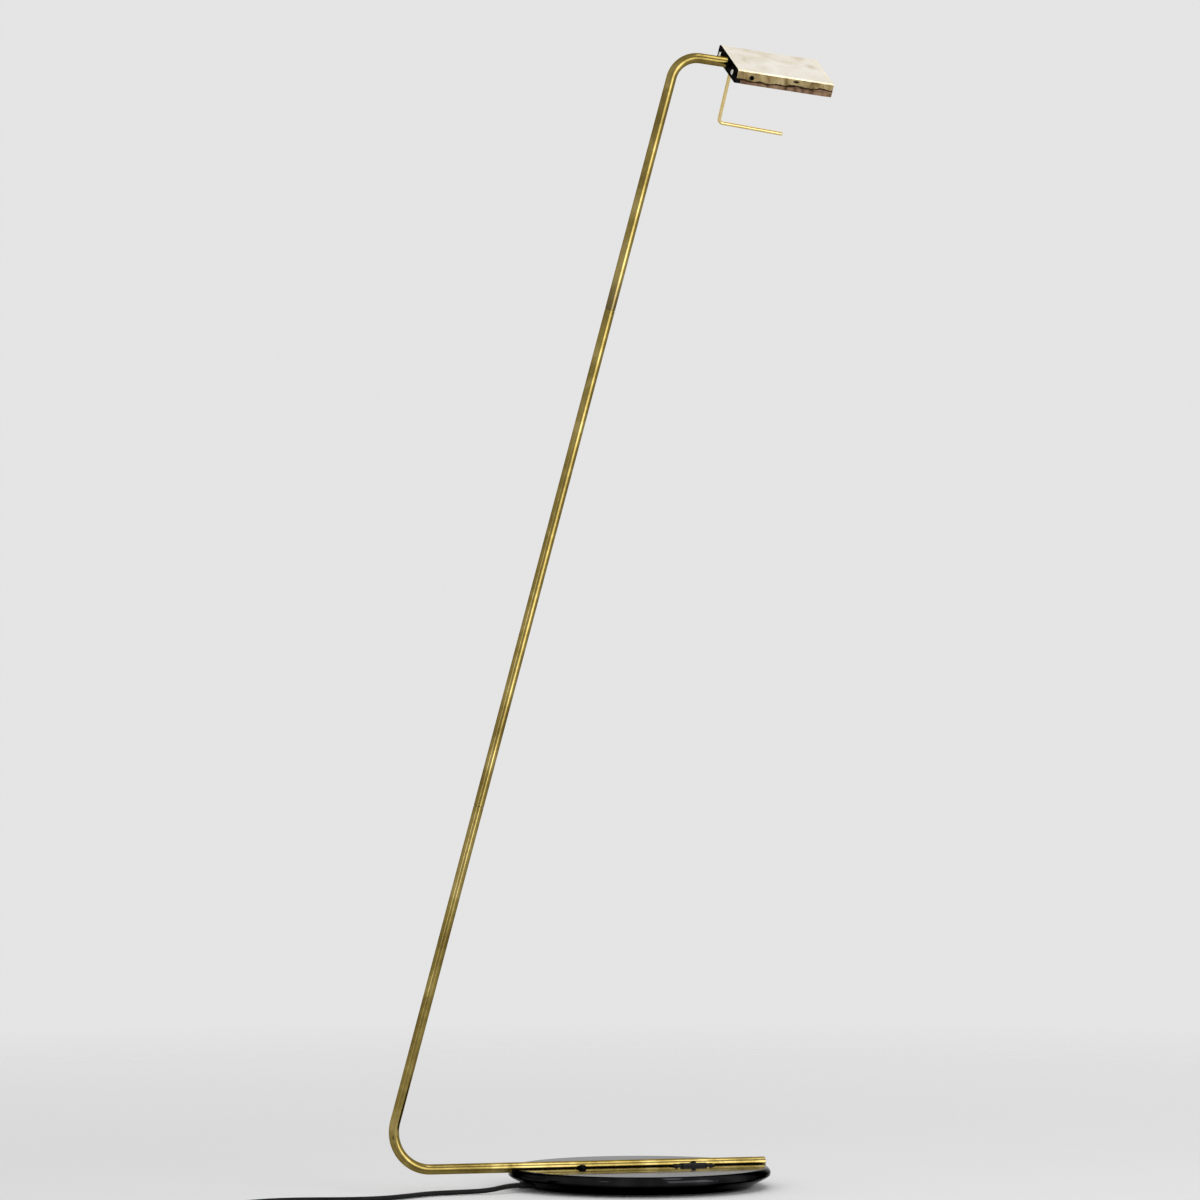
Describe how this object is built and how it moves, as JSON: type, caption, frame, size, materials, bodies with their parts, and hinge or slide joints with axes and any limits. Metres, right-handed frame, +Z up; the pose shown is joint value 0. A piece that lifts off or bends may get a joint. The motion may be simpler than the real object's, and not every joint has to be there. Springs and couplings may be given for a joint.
{
  "type": "floor lamp",
  "caption": "Leaning brass floor lamp: bent tube lying on a black disc, flat lit head that rolls about a short arm, wand handle, slide dimmer and mains cord.",
  "frame": {"origin": "on the floor under the middle of the base disc", "axes": "+Z up, +X along the foot tube towards the end under the head, -Y the side with the dimmer"},
  "size_m": [0.7294, 0.4382, 1.2496],
  "materials": {
    "base_black": "mirror gloss black",
    "pad_rubber": "matt",
    "cover_steel": "matt black",
    "screw_steel": "plain",
    "tube_brass": "aged polish",
    "coupler_brass": "darkened",
    "head_brass": "patinated satin",
    "wand_brass": "polished",
    "black_metal": "satin black",
    "black_plastic": "satin black",
    "works_plastic": "matt",
    "cord_rubber": "matt black",
    "pin_metal": "bright",
    "bright_steel": "bright",
    "spreader_aluminium": "mill",
    "chip_plastic": "matt",
    "opal_plastic": "opal"
  },
  "bodies": {
    "stand": {"base_plate": "base_black", "foot_pad": "pad_rubber", "base_cover": "cover_steel", "cover_screws": "screw_steel", "lower_tube": "tube_brass", "middle_tube": "tube_brass", "upper_tube": "tube_brass", "tube_couplers": "coupler_brass", "tube_end_plug": "tube_brass", "tube_inserts": "screw_steel", "tube_screws": "screw_steel", "flank_screws": "black_metal", "head_lead": "cord_rubber", "dimmer_body": "black_plastic", "dimmer_screws": "black_metal", "dimmer_mechanism": "works_plastic", "light_driver": "works_plastic", "terminal_block": "works_plastic", "cord_gland": "cord_rubber", "cord_tail": "cord_rubber", "mains_cord": "cord_rubber", "cord_coil": "cord_rubber", "cord_tie": "black_plastic", "plug_body": "black_plastic", "plug_pins": "pin_metal", "pivot_spindle": "screw_steel", "outer_washer": "black_plastic", "inner_washer": "black_plastic", "spring_washer": "screw_steel", "ring_nut": "screw_steel", "stop_pin": "screw_steel"},
    "head": {"hub_cap": "black_metal", "far_cap": "head_brass", "shade_cover": "head_brass", "side_screws": "black_metal", "end_screws": "bright_steel", "heat_spreader": "spreader_aluminium", "light_board": "works_plastic", "light_chips": "chip_plastic", "lower_frame": "head_brass", "diffuser": "opal_plastic", "frame_screws": "bright_steel", "wand": "wand_brass"},
    "dimmer": {"dimmer_slider": "black_plastic"}
  },
  "joints": [
    {"name": "head_roll", "type": "hinge", "parent": "stand", "child": "head", "pos_m": [0.1014, 0, 1.22711], "axis": [0.9921, 0, -0.1253], "range_deg": [-112.7, 67.3]},
    {"name": "dimmer_slide", "type": "slide", "parent": "stand", "child": "dimmer", "axis": [1, 0, 0], "range_m": [-0.0065, 0.0065]}
  ]
}
